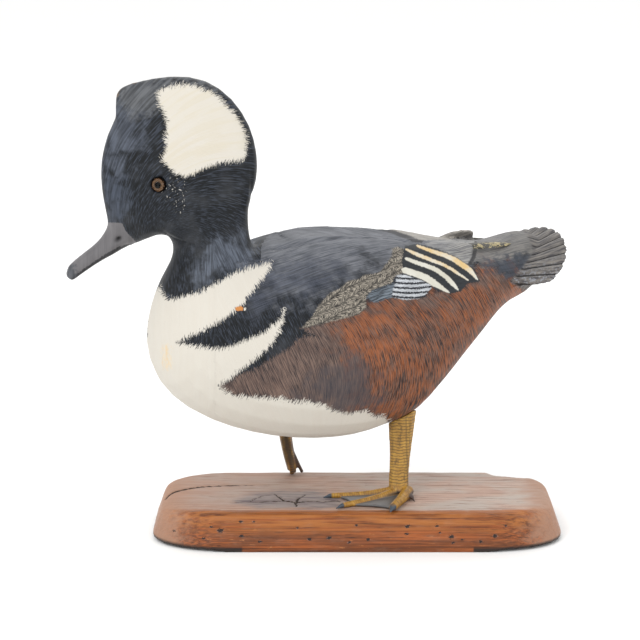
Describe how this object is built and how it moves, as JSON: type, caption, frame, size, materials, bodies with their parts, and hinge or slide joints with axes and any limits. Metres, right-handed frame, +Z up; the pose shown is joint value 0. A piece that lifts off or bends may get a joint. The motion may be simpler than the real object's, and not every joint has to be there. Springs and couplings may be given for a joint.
{
  "type": "merganser decoy",
  "caption": "Carved and painted wooden merganser with a tall fan crest, glass eyes and a cocked tail, striding on webbed feet on a worn wooden board.",
  "frame": {"origin": "middle of the board's flat underside", "axes": "+Z up, the bird faces -X with its head turned towards -Y, and its left side faces -Y"},
  "size_m": [0.3904, 0.181, 0.3603],
  "materials": {
    "board_wood": "worn varnish, grey on top and red-brown on the front",
    "painted_wood": "aged oil paint, satin",
    "leg_paint": "aged mustard paint, satin",
    "eye_glass": "polished, painted behind"
  },
  "bodies": {
    "root": {"base": "board_wood", "bird": "painted_wood", "left_leg": "leg_paint", "right_leg": "leg_paint", "left_eye": "eye_glass", "right_eye": "eye_glass", "left_primaries": "painted_wood", "right_primaries": "painted_wood"}
  },
  "joints": []
}
